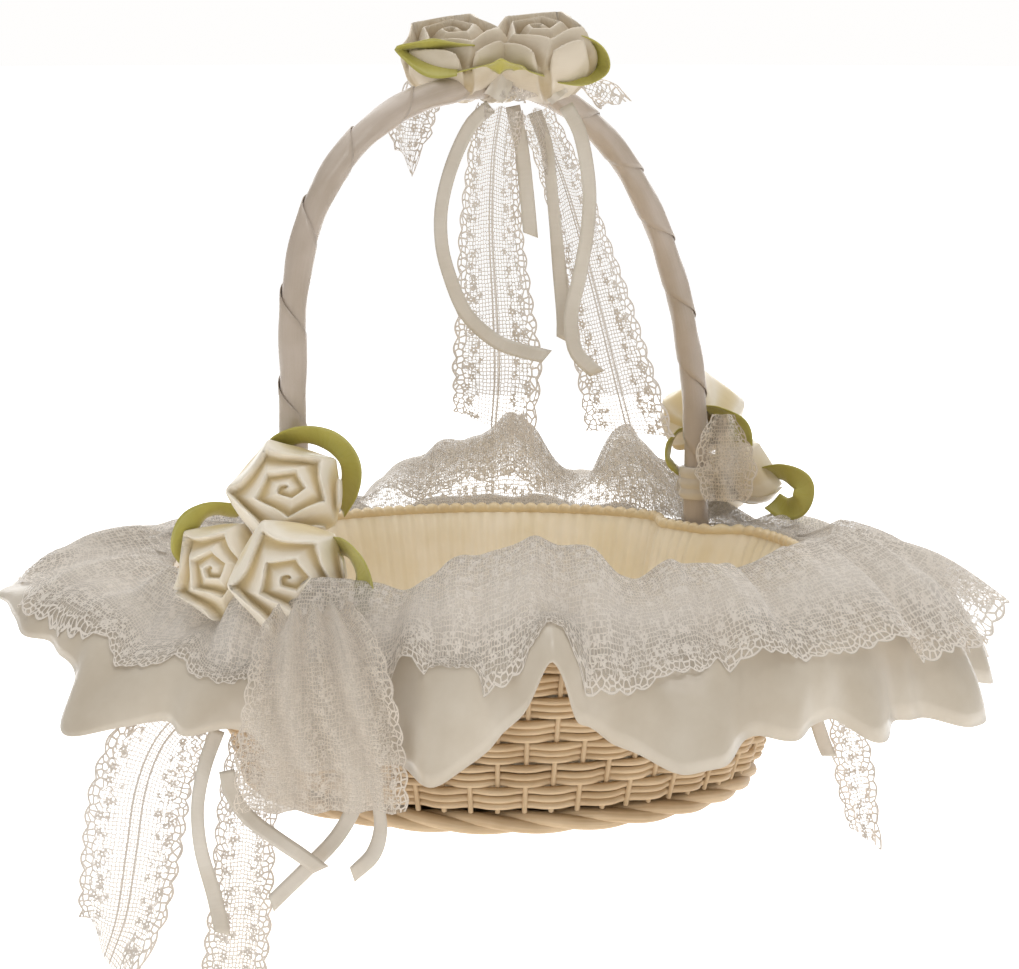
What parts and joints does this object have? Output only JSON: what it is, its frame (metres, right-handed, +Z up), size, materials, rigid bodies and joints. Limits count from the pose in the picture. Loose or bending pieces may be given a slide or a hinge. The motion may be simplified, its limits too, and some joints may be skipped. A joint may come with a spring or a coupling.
{
  "type": "flower girl basket",
  "caption": "Round wicker basket with a ribbon-wrapped arch handle, satin pouch, satin and lace flounces, satin roses with green ribbon loops, and hanging lace and ribbon streamers.",
  "frame": {"origin": "the middle of the grip, at the top of the handle's arch, where a hand holds the basket up", "axes": "+Z up; X along the handle's span; the front is midway between -X and -Y"},
  "size_m": [0.391, 0.3793, 0.3867],
  "materials": {
    "cream_satin": "cream satin, soft sheen",
    "hem_satin": "gathered satin hem over elastic",
    "handle_ribbon": "ivory satin ribbon, wound in a spiral",
    "rose_satin": "rolled cream satin ribbon",
    "green_satin": "olive green satin ribbon",
    "ribbon": "narrow cream satin ribbon",
    "lace": "white floral net lace, scalloped edge",
    "wicker": "peeled willow, clear matt lacquer",
    "reed": "plain pale reed"
  },
  "bodies": {
    "basket": {"base_board": "reed", "wall_stakes": "reed", "handle_core": "reed", "base_braid": "wicker", "rim_hoop": "wicker", "weaver_row_1": "wicker", "weaver_row_2": "wicker", "weaver_row_3": "wicker", "weaver_row_4": "wicker", "weaver_row_5": "wicker", "weaver_row_6": "wicker", "weaver_row_7": "wicker", "handle_wrap": "handle_ribbon", "crown_tie": "cream_satin", "left_tie": "cream_satin", "right_tie": "cream_satin", "lining": "cream_satin", "satin_flounce": "cream_satin", "rim_elastic": "hem_satin", "lace_flounce": "lace", "lace_fall": "lace", "right_lace_bow": "lace", "crown_lace_left": "lace", "crown_lace_right": "lace", "left_rose_top": "rose_satin", "left_rose_front": "rose_satin", "left_rose_side": "rose_satin", "right_rose_back": "rose_satin", "right_rose_side": "rose_satin", "right_rose_low": "rose_satin", "crown_rose_left": "rose_satin", "crown_rose_right": "rose_satin", "left_loop_top": "green_satin", "left_loop_side": "green_satin", "left_loop_low": "green_satin", "right_loop_near": "green_satin", "right_loop_top": "green_satin", "right_loop_side": "green_satin", "crown_leaf_left": "green_satin", "crown_leaf_middle": "green_satin", "crown_leaf_right": "green_satin"},
    "crown_streamers": {"crown_ribbon_left": "ribbon", "crown_ribbon_middle": "ribbon", "crown_ribbon_right": "ribbon", "crown_ribbon_inner": "ribbon", "crown_tail_left": "lace", "crown_tail_right": "lace"},
    "left_streamers": {"left_ribbon_outer": "ribbon", "left_ribbon_cross": "ribbon", "left_ribbon_back": "ribbon", "left_ribbon_inner": "ribbon", "left_tail_outer": "lace", "left_tail_inner": "lace"},
    "right_streamers": {"right_tail": "lace", "right_ribbon": "ribbon"}
  },
  "joints": [
    {"name": "crown_streamers_swing", "type": "hinge", "parent": "basket", "child": "crown_streamers", "pos_m": [-0.0046, -0.0046, -0.01], "axis": [-0.7071, 0.7071, 0], "range_deg": [-20, 20]},
    {"name": "left_streamers_swing", "type": "hinge", "parent": "basket", "child": "left_streamers", "pos_m": [-0.1601, -0.01167, -0.215], "axis": [-0.7071, 0.7071, 0], "range_deg": [-2, 14]},
    {"name": "right_streamers_swing", "type": "hinge", "parent": "basket", "child": "right_streamers", "pos_m": [0.10267, -0.09415, -0.22], "axis": [-0.7071, -0.7071, 0], "range_deg": [-2, 20]}
  ]
}
